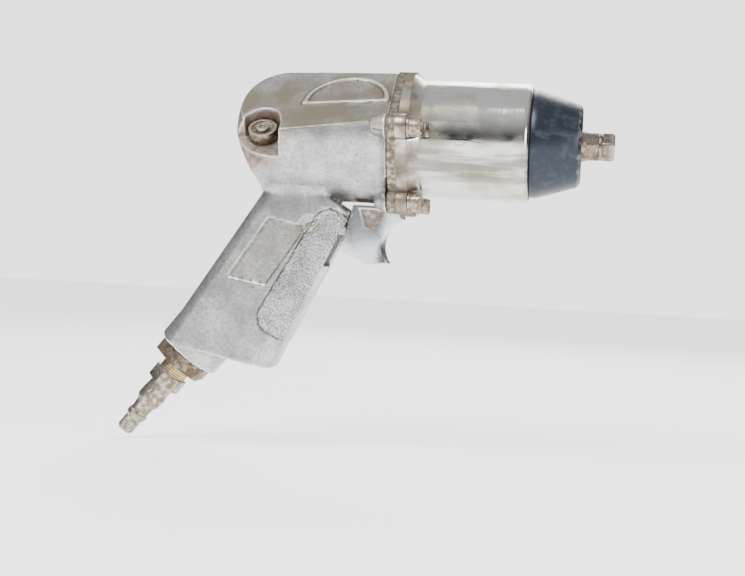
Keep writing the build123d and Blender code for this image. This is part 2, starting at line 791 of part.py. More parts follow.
# radius of the plug's turned nose at distances from its hexagon
plug_profile = [
    (0.0, 5.4),
    (6.5, 6.0),
    (10.2, 6.0),
    (12.5, 4.7),
    (17.2, 4.2),
    (17.9, 4.8),
    (19.9, 4.8),
    (21.4, 3.95),
    (27.6, 3.95),
    (28.6, 3.3),
]
hex_start = plug_start + plug_thread_shown
hex_end = hex_start + plug_hex_thickness
with BuildPart() as hose_plug:
    with BuildSketch(inlet_plane(hex_start)):
        RegularPolygon(radius=plug_hex_flats / 2, side_count=6, major_radius=False, rotation=12)
    extrude(amount=plug_hex_thickness)
    with BuildSketch(inlet_plane(plug_start - plug_thread_hidden)):
        Circle(plug_thread_r)
    extrude(amount=plug_thread_hidden + plug_thread_shown)
    for (d0, r0), (d1, r1) in zip(plug_profile, plug_profile[1:]):
        with BuildSketch(inlet_plane(hex_end + d0)):
            Circle(r0)
        with BuildSketch(inlet_plane(hex_end + d1)):
            Circle(r1)
        loft()
    with BuildSketch(inlet_plane(hex_end + plug_profile[-1][0])):
        Circle(plug_bore_r)
    extrude(amount=-plug_bore_length, mode=Mode.SUBTRACT)
finish(hose_plug, "hose_plug")
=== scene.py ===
"""Air impact wrench on its CAD frame: cast housing, plated hammer case, blued nose, worn fittings."""

import math

import bpy
from mathutils import Matrix, Vector


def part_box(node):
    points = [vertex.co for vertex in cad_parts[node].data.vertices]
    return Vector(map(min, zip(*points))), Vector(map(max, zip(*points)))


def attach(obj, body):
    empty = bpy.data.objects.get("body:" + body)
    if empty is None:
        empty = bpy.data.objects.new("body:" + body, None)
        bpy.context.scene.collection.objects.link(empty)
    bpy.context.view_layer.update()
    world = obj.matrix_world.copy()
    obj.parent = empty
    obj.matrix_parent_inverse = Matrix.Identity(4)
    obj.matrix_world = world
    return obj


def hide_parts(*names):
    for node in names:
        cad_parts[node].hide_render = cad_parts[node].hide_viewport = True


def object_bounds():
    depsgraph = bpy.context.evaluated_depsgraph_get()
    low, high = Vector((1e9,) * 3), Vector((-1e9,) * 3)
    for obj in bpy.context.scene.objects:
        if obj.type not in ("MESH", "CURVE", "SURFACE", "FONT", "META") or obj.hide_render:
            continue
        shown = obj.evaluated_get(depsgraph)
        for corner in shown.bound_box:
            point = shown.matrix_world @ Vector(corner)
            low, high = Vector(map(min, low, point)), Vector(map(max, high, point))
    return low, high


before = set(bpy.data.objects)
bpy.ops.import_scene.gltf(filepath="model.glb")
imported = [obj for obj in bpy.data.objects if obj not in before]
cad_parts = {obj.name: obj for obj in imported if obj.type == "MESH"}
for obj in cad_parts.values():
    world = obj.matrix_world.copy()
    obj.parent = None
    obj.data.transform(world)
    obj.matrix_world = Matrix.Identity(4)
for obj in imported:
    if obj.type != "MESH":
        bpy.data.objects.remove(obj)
cad_low, cad_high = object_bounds()

# ---------------------------------------------------------------- stand, light and camera
# A pale floor lies just under the hose plug. Large soft lamps stand above, in front and to the
# side, and the camera looks at the tool's left side, level with the grip and a little tipped.
floor_gap = 0.002
floor_size = 6.0
bpy.ops.object.select_all(action="DESELECT")
bpy.ops.mesh.primitive_plane_add(size=floor_size, location=(0.0, 0.0, cad_low.z - floor_gap))
floor = bpy.context.active_object
floor.name = "floor"
floor_glow = 1.6
floor_paint = bpy.data.materials.new("pale_floor")
floor_paint.use_nodes = True
floor_sockets = floor_paint.node_tree.nodes["Principled BSDF"].inputs
floor_sockets["Base Color"].default_value = (0.86, 0.86, 0.85, 1)
floor_sockets["Roughness"].default_value = 0.7
floor_sockets["Emission Color"].default_value = (1, 1, 1, 1)
floor_sockets["Emission Strength"].default_value = floor_glow
floor.data.materials.append(floor_paint)

studio = bpy.data.worlds.new("studio")
bpy.context.scene.world = studio
studio.use_nodes = True
sky = studio.node_tree.nodes["Background"]
sky.inputs["Strength"].default_value = 1.0
wall_height = studio.node_tree.nodes.new("ShaderNodeSeparateXYZ")
wall_shade = studio.node_tree.nodes.new("ShaderNodeValToRGB")
wall_shade.color_ramp.elements[0].position = 0.10
wall_shade.color_ramp.elements[0].color = (0.035, 0.035, 0.04, 1)
wall_shade.color_ramp.elements[1].position = 0.75
wall_shade.color_ramp.elements[1].color = (0.72, 0.73, 0.75, 1)
directions = studio.node_tree.nodes.new("ShaderNodeTexCoord")
backdrop_glow = 2.5
backdrop = studio.node_tree.nodes.new("ShaderNodeMix")
backdrop.data_type = "RGBA"
backdrop.inputs[7].default_value = (backdrop_glow, backdrop_glow, backdrop_glow, 1)
seen_directly = studio.node_tree.nodes.new("ShaderNodeLightPath")
studio.node_tree.links.new(directions.outputs["Generated"], wall_height.inputs[0])
studio.node_tree.links.new(wall_height.outputs["Z"], wall_shade.inputs["Fac"])
studio.node_tree.links.new(wall_shade.outputs["Color"], backdrop.inputs[6])
studio.node_tree.links.new(seen_directly.outputs["Is Camera Ray"], backdrop.inputs[0])
studio.node_tree.links.new(backdrop.outputs[2], sky.inputs["Color"])

middle = (cad_low + cad_high) / 2
for lamp_name, lamp_place, lamp_size, lamp_power in (
    ("key_lamp", (-0.25, -0.55, 0.75), 0.50, 11.0),
    ("side_lamp", (0.75, -0.55, 0.20), 0.35, 3.5),
    ("low_lamp", (-0.75, -0.70, -0.02), 0.40, 2.0),
    ("rear_lamp", (0.1, 0.8, 0.6), 0.6, 8.0),
):
    lamp_data = bpy.data.lights.new(lamp_name, "AREA")
    lamp_data.size = lamp_size
    lamp_data.energy = lamp_power
    lamp = bpy.data.objects.new(lamp_name, lamp_data)
    bpy.context.scene.collection.objects.link(lamp)
    lamp.location = middle + Vector(lamp_place)
    lamp.rotation_mode = "QUATERNION"
    lamp.rotation_quaternion = (-Vector(lamp_place)).to_track_quat("-Z", "Y")

camera_turn = math.radians(9.0)
camera_lift = math.radians(0.9)
camera_roll = math.radians(3.1)
camera_distance = 0.6016
camera_aside = 0.1071
camera_above = 0.0620
camera_lens = 65.8
camera_back = Vector(
    (
        math.sin(camera_turn) * math.cos(camera_lift),
        -math.cos(camera_turn) * math.cos(camera_lift),
        math.sin(camera_lift),
    )
)
camera_level = Vector((math.cos(camera_turn), math.sin(camera_turn), 0))
camera_right = camera_level * math.cos(camera_roll) + camera_back.cross(camera_level) * math.sin(camera_roll)
camera_up = camera_back.cross(camera_right)
camera_data = bpy.data.cameras.new("camera")
camera_data.lens = camera_lens
camera_data.sensor_width = 36.0
camera = bpy.data.objects.new("camera", camera_data)
bpy.context.scene.collection.objects.link(camera)
camera_turned = Matrix((camera_right, camera_up, camera_back)).transposed()
camera.matrix_world = Matrix.Translation(
    camera_back * camera_distance - camera_right * camera_aside - camera_up * camera_above
) @ camera_turned.to_4x4()
bpy.context.scene.camera = camera


# ---------------------------------------------------------------- motor housing
# One aluminium casting: barrel, sloping flat with a blank badge, grip and inlet boss. It is
# tumbled and wiped, so its skin is soft grey with fine brushing, dark pits and brown oil stains.
# Painted shade darkens its creases, the flat, the dial pocket and the foot of the badge rim, and a
# painted highlight lightens the top of the rim.
class Channel:
    """One shader socket. Arithmetic written on it adds Math nodes."""

    def __init__(self, finish, socket):
        self.finish = finish
        self.socket = socket

    def math(self, operation, first, second):
        return self.finish.node("ShaderNodeMath", {"operation": operation}, {0: first, 1: second})

    def __add__(self, other):
        return self.math("ADD", self, other)

    def __radd__(self, other):
        return self.math("ADD", other, self)

    def __sub__(self, other):
        return self.math("SUBTRACT", self, other)

    def __rsub__(self, other):
        return self.math("SUBTRACT", other, self)

    def __mul__(self, other):
        return self.math("MULTIPLY", self, other)

    def __rmul__(self, other):
        return self.math("MULTIPLY", other, self)


class Finish:
    """A material with one Principled shader. Every other node is added by node()."""

    def __init__(self, name, constants):
        self.material = bpy.data.materials.new(name)
        self.material.use_nodes = True
        self.shader = self.material.node_tree.nodes["Principled BSDF"]
        for socket, value in constants.items():
            self.shader.inputs[socket].default_value = value
        self.place = self.node("ShaderNodeTexCoord", result="Object")

    def node(self, kind, settings=None, values=None, result=0):
        made = self.material.node_tree.nodes.new(kind)
        for setting, value in (settings or {}).items():
            setattr(made, setting, value)
        for socket, value in (values or {}).items():
            self.join(value, made.inputs[socket])
        return Channel(self, made.outputs[result])

    def join(self, value, socket):
        if isinstance(value, Channel):
            self.material.node_tree.links.new(value.socket, socket)
        else:
            socket.default_value = value

    def drive(self, socket, value):
        """Feeds one of the shader's own sockets."""
        self.join(value, self.shader.inputs[socket])

    def stretched(self, along):
        """Object coordinates drawn out, so that a pattern runs along one direction."""
        return self.node("ShaderNodeVectorMath", {"operation": "MULTIPLY"}, {0: self.place, 1: along})

    def noise(self, scale, detail=3.0, vector=None):
        values = {"Vector": vector or self.place, "Scale": scale, "Detail": detail}
        return self.node("ShaderNodeTexNoise", {}, values)

    def ramp(self, value, low, high):
        """0 below low, 1 above high, smooth between."""
        values = {"Value": value, "From Min": low, "From Max": high}
        return self.node("ShaderNodeMapRange", {"interpolation_type": "SMOOTHSTEP"}, values)

    def tint(self, mask, plain, stained):
        """Goes from one colour to another as the mask goes from 0 to 1."""
        return self.node("ShaderNodeMix", {"data_type": "RGBA"}, {0: mask, 6: plain, 7: stained}, 2)

    def along(self, direction):
        """Distance of a point along a direction from the origin, in metres."""
        values = {0: self.place, 1: direction}
        return self.node("ShaderNodeVectorMath", {"operation": "DOT_PRODUCT"}, values, "Value")

    def away(self, point):
        """Distance from a fixed point, in metres."""
        values = {0: self.place, 1: point}
        return self.node("ShaderNodeVectorMath", {"operation": "DISTANCE"}, values, "Value")

    def relief(self, height, depth):
        """Bump of a given depth in metres, into the shader's Normal."""
        values = {"Height": height, "Distance": depth, "Strength": 1.0}
        self.drive("Normal", self.node("ShaderNodeBump", {}, values))

    def edges(self, low, high):
        """1 on the ridges of a densely meshed piece, 0 elsewhere."""
        return self.ramp(self.node("ShaderNodeNewGeometry", result="Pointiness"), low, high)


def rgb(red, green, blue):
    return (red, green, blue, 1.0)


def pick(piece):
    """Makes one object the only selected one."""
    bpy.ops.object.select_all(action="DESELECT")
    piece.select_set(True)
    bpy.context.view_layer.objects.active = piece


def welded_copy(node, name):
    """A copy of a CAD solid with its loose triangles welded and its flat faces joined."""
    piece = bpy.data.objects.new(name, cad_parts[node].data.copy())
    bpy.context.scene.collection.objects.link(piece)
    piece.data.materials.clear()
    pick(piece)
    bpy.ops.mesh.customdata_custom_splitnormals_clear()
    bpy.ops.object.mode_set(mode="EDIT")
    bpy.ops.mesh.select_all(action="SELECT")
    bpy.ops.mesh.remove_doubles(threshold=0.000002)
    bpy.ops.mesh.dissolve_limited(angle_limit=math.radians(0.3))
    bpy.ops.object.mode_set(mode="OBJECT")
    return piece


def use_modifier(piece, kind, **settings):
    """Adds a modifier and applies it at once."""
    modifier = piece.modifiers.new(kind.lower(), kind)
    for setting, value in settings.items():
        setattr(modifier, setting, value)
    pick(piece)
    bpy.ops.object.modifier_apply(modifier=modifier.name)


def pick_points(piece, chosen):
    """Selects the points for which chosen(place) is true and goes into edit mode."""
    pick(piece)
    bpy.ops.object.mode_set(mode="EDIT")
    bpy.ops.mesh.select_mode(type="VERT")
    bpy.ops.mesh.select_all(action="DESELECT")
    bpy.ops.object.mode_set(mode="OBJECT")
    for point in piece.data.vertices:
        point.select = chosen(point.co)
    bpy.ops.object.mode_set(mode="EDIT")


barrel_radius = 0.0295
grip_half_width = 0.0155
casting_voxel = 0.0007
flat_tilt = math.radians(42)
flat_normal = Vector((0, -math.sin(flat_tilt), math.cos(flat_tilt)))
flat_height = 0.0236
flat_fall = math.tan(math.radians(4.8))
seam_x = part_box("motor_housing")[1].x

housing = welded_copy("motor_housing", "housing_casting")
use_modifier(housing, "REMESH", mode="VOXEL", voxel_size=casting_voxel)
use_modifier(housing, "SMOOTH", factor=0.5, iterations=3)

# the grip flows into the barrel with a broad web
web = housing.vertex_groups.new(name="web")
web_reach = 0.009
web_top = -0.019
web_inner = 0.0105
web_rear = -0.172
for point in housing.data.vertices:
    place = point.co
    from_barrel = abs(math.hypot(place.y, place.z) - barrel_radius)
    from_side = abs(abs(place.y) - grip_half_width)
    outside = place.z < web_top and abs(place.y) > web_inner and place.x > web_rear
    if outside and max(from_barrel, from_side) < web_reach:
        web.add([point.index], 1.0 - max(from_barrel, from_side) / web_reach, "REPLACE")
use_modifier(housing, "SMOOTH", factor=0.9, iterations=70, vertex_group="web")
housing.vertex_groups.clear()

# blank sunk panel on the left cheek of the grip
panel_middle = Vector((-0.1513, 0, -0.0539))
panel_long = Vector((-0.541, 0, -0.841))
panel_short = Vector((0.986, 0, -0.165))
panel_half_length = 0.0158
panel_half_width = 0.0086
panel_sink = 0.0006
panel_skin = -0.0145


def panel_place(place):
    """Position on the slanted panel: across and down, each 1 at its border."""
    offset = place - panel_middle
    cross = panel_short.x * panel_long.z - panel_short.z * panel_long.x
    across = (offset.x * panel_long.z - offset.z * panel_long.x) / cross
    down = (panel_short.x * offset.z - panel_short.z * offset.x) / cross
    return across / panel_half_width, down / panel_half_length


def on_panel(place):
    across, down = panel_place(place)
    return place.y < panel_skin and abs(across) < 1 and abs(down) < 1


pick_points(housing, on_panel)
bpy.ops.transform.translate(value=(0, panel_sink, 0))
bpy.ops.object.mode_set(mode="OBJECT")

# pebbled pads along the front of the grip, on both cheeks
pad_corner = Vector((-0.1282, 0, -0.0337))
pad_lean = math.radians(28.6)
pad_down = Vector((-math.sin(pad_lean), 0, -math.cos(pad_lean)))
pad_forward = Vector((math.cos(pad_lean), 0, -math.sin(pad_lean)))
pad_top = -0.003
pad_bottom = 0.060
pad_rounding = 0.008
pad_raise = 0.0004
pad_top_z = -0.0325
pad_front_x = -0.1145
pad_inner_y = 0.0088


def pad_depth(place):
    """How far a point is inside the pad's rounded border, in metres."""
    offset = Vector((place.x, 0, place.z)) - pad_corner
    down = offset.dot(pad_down)
    forward = offset.dot(pad_forward)
    over = max(pad_top + pad_rounding - down, down - pad_bottom + pad_rounding, 0)
    short = max(pad_rounding - forward, 0)
    return pad_rounding - math.hypot(over, short)


def beside_grip(place):
    """True on the cheeks of the grip, where the pads may lie."""
    return abs(place.y) > pad_inner_y and place.z < pad_top_z and place.x < pad_front_x


def on_pad(place):
    return beside_grip(place) and pad_depth(place) > 0


pick_points(housing, on_pad)
bpy.ops.transform.shrink_fatten(value=pad_raise)
bpy.ops.object.mode_set(mode="OBJECT")
outline_width = 0.0010
outline_skin = -0.0142
pebbles = housing.data.attributes.new("pebbled", "FLOAT", "POINT")
outlines = housing.data.attributes.new("outline", "FLOAT", "POINT")
panel_floor = housing.data.attributes.new("panel", "FLOAT", "POINT")
for point in housing.data.vertices:
    place = point.co
    pebbles.data[point.index].value = 1.0 if on_pad(place) else 0.0
    across, down = panel_place(place)
    inside = place.y < outline_skin and abs(across) < 1.04 and abs(down) < 1.02
    panel_floor.data[point.index].value = 1.0 if inside else 0.0
    to_panel = max((abs(across) - 1) * panel_half_width, (abs(down) - 1) * panel_half_length)
    by_panel = 1 - abs(to_panel) / outline_width if place.y < outline_skin else 0.0
    by_pad = 1 - abs(pad_depth(place)) / outline_width if beside_grip(place) else 0.0
    outlines.data[point.index].value = max(by_panel, by_pad, 0.0)
pick(housing)
bpy.ops.object.shade_smooth()

casting = Finish("cast_aluminium", {"Metallic": 0.93, "Specular IOR Level": 0.5})
patches = casting.noise(75, 8)
flecks = casting.noise(900, 2)
brushing = casting.noise(260, 3, casting.stretched((0.12, 1, 1)))
worn = casting.edges(0.512, 0.56)
# concave places are tinted dark brown: grime and painted shade in the creases
hollow = 1 - casting.edges(0.44, 0.495)
height_of_flat = casting.along((flat_fall, 0, 0)) + (flat_height - seam_x * flat_fall)
above_flat = casting.along(flat_normal) - height_of_flat
flat_mask = casting.ramp(above_flat, -0.0010, -0.0004)
left_side = casting.ramp(casting.along((0, -1, 0)), -0.004, 0.004)
# the sloping flat is darkened brown: an oil stain and painted shade
flat_stain_and_shade = flat_mask * left_side * (0.35 + 0.65 * casting.ramp(casting.noise(70, 6), 0.30, 0.62))
dial_floor = Vector((-0.155, -0.0170, -0.0035))
# the dial pocket is darkened rusty brown: rust and painted shade in the recess
recess = casting.ramp(casting.away(dial_floor), 0.0170, 0.0125) * casting.ramp(above_flat, -0.0012, -0.0022)
rust_and_pocket_shade = recess * (0.45 + 0.55 * casting.ramp(casting.noise(240, 4), 0.30, 0.62))
seam_dirt = casting.ramp(casting.along((1, 0, 0)), seam_x - 0.0045, seam_x - 0.0006)
seam_dirt = seam_dirt * casting.ramp(patches, 0.35, 0.62)
trigger_root = (-0.108, 0, -0.036)
under = casting.ramp(casting.away(trigger_root), 0.020, 0.010) * casting.ramp(casting.noise(160), 0.35, 0.6)
pebble_mask = casting.node("ShaderNodeAttribute", {"attribute_name": "pebbled"}, {}, "Fac")
panel_mask = casting.node("ShaderNodeAttribute", {"attribute_name": "panel"}, {}, "Fac")
outline_mask = casting.node("ShaderNodeAttribute", {"attribute_name": "outline"}, {}, "Fac")
outline_dirt = casting.ramp(outline_mask, 0.1, 0.9) * casting.ramp(casting.noise(300, 3), 0.25, 0.60)
panel_stain = panel_mask * casting.ramp(casting.noise(210, 4), 0.34, 0.72)
pit = casting.ramp(casting.noise(420, 2), 0.685, 0.74)
colour = casting.tint(casting.ramp(patches, 0.3, 0.75), rgb(0.56, 0.56, 0.55), rgb(0.27, 0.275, 0.27))
speckle = casting.ramp(casting.noise(650, 3), 0.42, 0.62)
colour = casting.tint(speckle * 0.4, colour, rgb(0.19, 0.19, 0.185))
colour = casting.tint(flat_stain_and_shade * 0.95, colour, rgb(0.150, 0.125, 0.085))
colour = casting.tint(panel_stain * 0.6, colour, rgb(0.36, 0.30, 0.21))
colour = casting.tint(hollow * 0.75, colour, rgb(0.20, 0.165, 0.12))
colour = casting.tint(seam_dirt * 0.8, colour, rgb(0.13, 0.105, 0.08))
colour = casting.tint(under * 0.8, colour, rgb(0.22, 0.15, 0.09))
colour = casting.tint(rust_and_pocket_shade, colour, rgb(0.17, 0.095, 0.055))
colour = casting.tint(outline_dirt * 0.7, colour, rgb(0.10, 0.08, 0.06))
colour = casting.tint(pit * 0.6, colour, rgb(0.12, 0.11, 0.10))
# a dark line along the foot of the badge rim: dirt and painted shade in the crease
rim_foot_dirt_and_shade = casting.ramp(above_flat, 0.0, 0.00015) * casting.ramp(above_flat, 0.00055, 0.0003)
colour = casting.tint(rim_foot_dirt_and_shade * 0.8, colour, rgb(0.07, 0.055, 0.04))
# the top of the badge rim is tinted lighter: wear and a painted highlight
colour = casting.tint(casting.ramp(above_flat, 0.0005, 0.0007) * 0.5, colour, rgb(0.50, 0.46, 0.38))
colour = casting.tint(worn * 0.8, colour, rgb(0.90, 0.90, 0.88))
casting.drive("Base Color", colour)
rough = 0.30 + patches * 0.16 + flat_stain_and_shade * 0.12 + rust_and_pocket_shade * 0.25 + pebble_mask * 0.05 - worn * 0.14
casting.drive("Roughness", rough)
casting.drive("Metallic", 0.93 - rust_and_pocket_shade * 0.6 - flat_stain_and_shade * 0.45 - seam_dirt * 0.3)
grain = casting.node(
    "ShaderNodeTexVoronoi", {"feature": "SMOOTH_F1"}, {"Vector": casting.place, "Scale": 1050.0}
)
skin_relief = brushing * 0.30 + flecks * 0.35 + patches * 1.5 - pit * 0.7
skin_relief = skin_relief - outline_mask * 1.5 + pebble_mask * (1 - grain) * 6.0
casting.relief(skin_relief, 0.00022)
housing.data.materials.append(casting.material)
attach(housing, "tool")
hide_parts("motor_housing")


# ---------------------------------------------------------------- joint plate and gasket
# A ground steel plate and an oiled fibre gasket sit between the housing and the hammer case.
# Oil has crept out along the joint and holds dark dirt.
def dressed(node, body, finish, edge=0.00025, crease=35):
    """Stands for a CAD node: the same solid, welded, with its sharp edges broken."""
    piece = welded_copy(node, node + "_made")
    if edge:
        use_modifier(
            piece,
            "BEVEL",
            width=edge,
            segments=2,
            limit_method="ANGLE",
            angle_limit=math.radians(crease),
            use_clamp_overlap=True,
        )
    pick(piece)
    bpy.ops.object.shade_smooth_by_angle(angle=math.radians(crease))
    piece.data.materials.append(finish.material)
    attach(piece, body)
    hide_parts(node)
    return piece


plate_steel = Finish("plate_steel", {"Metallic": 1.0})
plate_dirt = plate_steel.ramp(plate_steel.noise(420, 6), 0.26, 0.60)
plate_colour = plate_steel.tint(plate_dirt, rgb(0.40, 0.37, 0.32), rgb(0.15, 0.12, 0.085))
plate_steel.drive("Base Color", plate_colour)
plate_steel.drive("Roughness", 0.3 + plate_dirt * 0.3)
plate_steel.relief(plate_steel.noise(700), 0.00005)
dressed("joint_plate", "tool", plate_steel, 0.0004)

gasket_fibre = Finish("gasket_fibre", {"Metallic": 0.0})
fibre = gasket_fibre.noise(1500, 4)
gasket_colour = gasket_fibre.tint(fibre, rgb(0.035, 0.03, 0.025), rgb(0.09, 0.075, 0.055))
gasket_fibre.drive("Base Color", gasket_colour)
gasket_fibre.drive("Roughness", 0.6 + fibre * 0.3)
gasket_fibre.relief(fibre, 0.00008)
dressed("housing_gasket", "tool", gasket_fibre, 0.0)

# ---------------------------------------------------------------- hammer case
# Turned steel, nickel plated and polished. Years of hands and oil have left yellow-brown
# blotches, fine turning marks and scratches, and the flange is brown with old dirt. Dark
# streaks below the axis are patina and painted reflection.
case_axis = (1, 0, 0)
flange_front_x = -0.089
nickel = Finish("worn_nickel", {"Metallic": 1.0})
blotch = nickel.ramp(nickel.noise(62, 8), 0.44, 0.66)
smear = nickel.ramp(nickel.noise(95, 4, nickel.stretched((0.5, 1.3, 1.3))), 0.52, 0.72)
turning = nickel.noise(900, 2, nickel.stretched((1, 0.06, 0.06)))
scratch = nickel.ramp(nickel.noise(320, 2, nickel.stretched((0.15, 1.6, 0.9))), 0.68, 0.73)
flange_dirt = nickel.ramp(nickel.along(case_axis), flange_front_x + 0.0090, flange_front_x + 0.0005)
flange_dirt = flange_dirt * nickel.ramp(nickel.noise(120, 4), 0.25, 0.55)
# dark streaks along the case below its axis: patina and painted reflection
depth_below = nickel.along((0, 0, -1))
lower_side = nickel.ramp(depth_below, 0.000, 0.010) * nickel.ramp(depth_below, 0.0225, 0.0165)
patina_and_reflection_streak = lower_side * nickel.ramp(nickel.noise(210, 4, nickel.stretched((0.10, 0.8, 1))), 0.42, 0.60)
case_lip_x = -0.0370
lip_dirt = nickel.ramp(nickel.along(case_axis), case_lip_x - 0.0015, case_lip_x)
nickel_colour = nickel.tint(nickel.noise(20), rgb(0.74, 0.73, 0.70), rgb(0.56, 0.555, 0.53))
nickel_colour = nickel.tint(blotch * 0.6, nickel_colour, rgb(0.34, 0.26, 0.135))
nickel_colour = nickel.tint(smear * 0.4, nickel_colour, rgb(0.50, 0.44, 0.32))
nickel_colour = nickel.tint(flange_dirt * 0.85, nickel_colour, rgb(0.17, 0.125, 0.08))
nickel_colour = nickel.tint(lip_dirt * 0.5, nickel_colour, rgb(0.25, 0.19, 0.12))
nickel_colour = nickel.tint(patina_and_reflection_streak * 0.75, nickel_colour, rgb(0.13, 0.115, 0.095))
nickel_colour = nickel.tint(scratch * 0.5, nickel_colour, rgb(0.30, 0.28, 0.25))
nickel.drive("Base Color", nickel_colour)
nickel.drive("Roughness", 0.13 + blotch * 0.20 + smear * 0.10 + flange_dirt * 0.25 + scratch * 0.1)
nickel.relief(turning * 0.5 - scratch * 0.7 + nickel.noise(60, 3) * 1.6, 0.00006)
dressed("hammer_case", "tool", nickel, 0.0005)

# ---------------------------------------------------------------- nose cone and its bushing
# The nose is steel, chemically blued to a satin blue-black, worn to bare metal along its front
# lip. A bronze bushing pressed inside it carries the drive.
bluing = Finish("blued_steel", {"Metallic": 0.6})
lip_front_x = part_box("nose_cone")[1].x
rub = bluing.ramp(bluing.noise(260, 6), 0.46, 0.70)
lip_wear = bluing.ramp(bluing.along(case_axis), lip_front_x - 0.0022, lip_front_x - 0.0004) * 0.8
spin_marks = bluing.noise(800, 2, bluing.stretched((1, 0.06, 0.06)))
blue_colour = bluing.tint(rub * 0.6, rgb(0.020, 0.026, 0.038), rgb(0.050, 0.060, 0.078))
blue_colour = bluing.tint(lip_wear * rub, blue_colour, rgb(0.30, 0.29, 0.28))
bluing.drive("Base Color", blue_colour)
bluing.drive("Roughness", 0.34 + rub * 0.14)
bluing.relief(spin_marks * 0.4 + bluing.noise(90) * 0.6, 0.00005)
dressed("nose_cone", "tool", bluing, 0.0005)

bronze = Finish("oiled_bronze", {"Metallic": 1.0})
bronze_spots = bronze.ramp(bronze.noise(500, 3), 0.4, 0.65)
bronze.drive("Base Color", bronze.tint(bronze_spots, rgb(0.48, 0.32, 0.16), rgb(0.14, 0.09, 0.05)))
bronze.drive("Roughness", 0.32 + bronze_spots * 0.25)
bronze.relief(bronze.noise(1400), 0.00004)
dressed("anvil_bushing", "tool", bronze, 0.0003)

# ---------------------------------------------------------------- anvil and square drive
# Forged and hardened steel, left brown from heat treatment. Sockets have polished the square's
# edges, and a spring ring over a small O-ring grips them.
forged = Finish("forged_steel", {"Metallic": 1.0})
scale_spots = forged.ramp(forged.noise(260, 5), 0.34, 0.66)
tip_wear = forged.ramp(forged.along(case_axis), -0.0028, -0.0003)
rubbed = forged.ramp(forged.noise(620, 3), 0.55, 0.7)
forged_colour = forged.tint(scale_spots, rgb(0.27, 0.23, 0.19), rgb(0.12, 0.085, 0.06))
forged_colour = forged.tint(tip_wear * 0.55 + rubbed * 0.3, forged_colour, rgb(0.52, 0.49, 0.45))
forged.drive("Base Color", forged_colour)
forged.drive("Roughness", 0.30 + scale_spots * 0.2)
forged.relief(scale_spots + forged.noise(900) * 0.5, 0.00006)
dressed("anvil", "anvil", forged, 0.0003)
dressed("socket_ring", "anvil", forged, 0.0001)

o_ring_black = Finish("o_ring_black", {"Metallic": 0.0, "Base Color": rgb(0.02, 0.02, 0.02)})
o_ring_black.drive("Roughness", 0.45 + o_ring_black.noise(900) * 0.3)
o_ring_black.relief(o_ring_black.noise(2000), 0.00003)
dressed("socket_o_ring", "anvil", o_ring_black, 0.0)

# ---------------------------------------------------------------- case screws and washers
# Four socket cap screws of plain steel clamp the case, the plate and the housing, each with a
# split washer. Their heads are brown with age and bright where the key and fingers rub.
screw_steel = Finish("screw_steel", {"Metallic": 1.0})
screw_rust = screw_steel.ramp(screw_steel.noise(520, 7), 0.34, 0.66)
screw_colour = screw_steel.tint(screw_rust, rgb(0.42, 0.375, 0.31), rgb(0.18, 0.125, 0.085))
screw_steel.drive("Base Color", screw_colour)
screw_steel.drive("Roughness", 0.26 + screw_rust * 0.3)
screw_steel.drive("Metallic", 1 - screw_rust * 0.4)
screw_steel.relief(screw_steel.noise(1300, 3), 0.00005)
for fastener in ("case_screws", "lock_washers", "cross_pin"):
    dressed(fastener, "tool", screw_steel, 0.0002)

# ---------------------------------------------------------------- trigger
# A zinc casting, plated blue-grey and worn smooth by the finger. Brown dirt sits in the hollow
# of each cheek.
plated_zinc = Finish("plated_zinc", {"Metallic": 1.0})
trigger_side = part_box("trigger")[1].y
hollow_middle = Vector((-0.1055, 0, -0.0362))
hollow_depth = 0.0012
hollow_blend = 0.0004
cheek_depth = plated_zinc.ramp(
    plated_zinc.along((0, -1, 0)), trigger_side - hollow_depth + hollow_blend, trigger_side - hollow_depth
)
near_hollow = plated_zinc.node(
    "ShaderNodeVectorMath",
    {"operation": "DISTANCE"},
    {0: plated_zinc.stretched((1, 0, 1)), 1: hollow_middle},
    "Value",
)
dirt_mask = plated_zinc.ramp(near_hollow, 0.0085, 0.0060) * cheek_depth
dirt_mask = dirt_mask * plated_zinc.ramp(plated_zinc.noise(380, 4), 0.28, 0.55)
haze = plated_zinc.noise(190, 4)
zinc_colour = plated_zinc.tint(haze, rgb(0.46, 0.51, 0.54), rgb(0.66, 0.70, 0.71))
zinc_colour = plated_zinc.tint(dirt_mask * 0.9, zinc_colour, rgb(0.22, 0.15, 0.10))
plated_zinc.drive("Base Color", zinc_colour)
plated_zinc.drive("Roughness", 0.20 + haze * 0.16 + dirt_mask * 0.4)
plated_zinc.drive("Metallic", 1 - dirt_mask * 0.7)
plated_zinc.relief(haze + plated_zinc.noise(900) * 0.3, 0.00008)
dressed("trigger", "trigger", plated_zinc, 0.0007)

# ---------------------------------------------------------------- throttle valve
# Behind the trigger a brass sleeve is pinned across the grip. A steel valve slides in it, and
# a coil spring behind its head shuts it.
brass = Finish("turned_brass", {"Metallic": 1.0})
tarnish = brass.ramp(brass.noise(280, 4), 0.38, 0.66)
brass.drive("Base Color", brass.tint(tarnish, rgb(0.62, 0.47, 0.20), rgb(0.24, 0.16, 0.08)))
brass.drive("Roughness", 0.25 + tarnish * 0.25)
brass.relief(brass.noise(1100), 0.00004)
dressed("valve_sleeve", "tool", brass, 0.0002)
dressed("inlet_screen", "tool", brass, 0.0)

oiled_steel = Finish("oiled_steel", {"Metallic": 1.0})
oil_film = oiled_steel.noise(170, 4)
lathe_lines = oiled_steel.noise(1200, 2, oiled_steel.stretched((1, 0.08, 0.08)))
oiled_steel.drive("Base Color", oiled_steel.tint(oil_film, rgb(0.52, 0.51, 0.49), rgb(0.30, 0.28, 0.25)))
oiled_steel.drive("Roughness", 0.18 + oil_film * 0.2)
oiled_steel.relief(lathe_lines, 0.00003)
dressed("throttle_valve", "throttle_valve", oiled_steel, 0.0002)

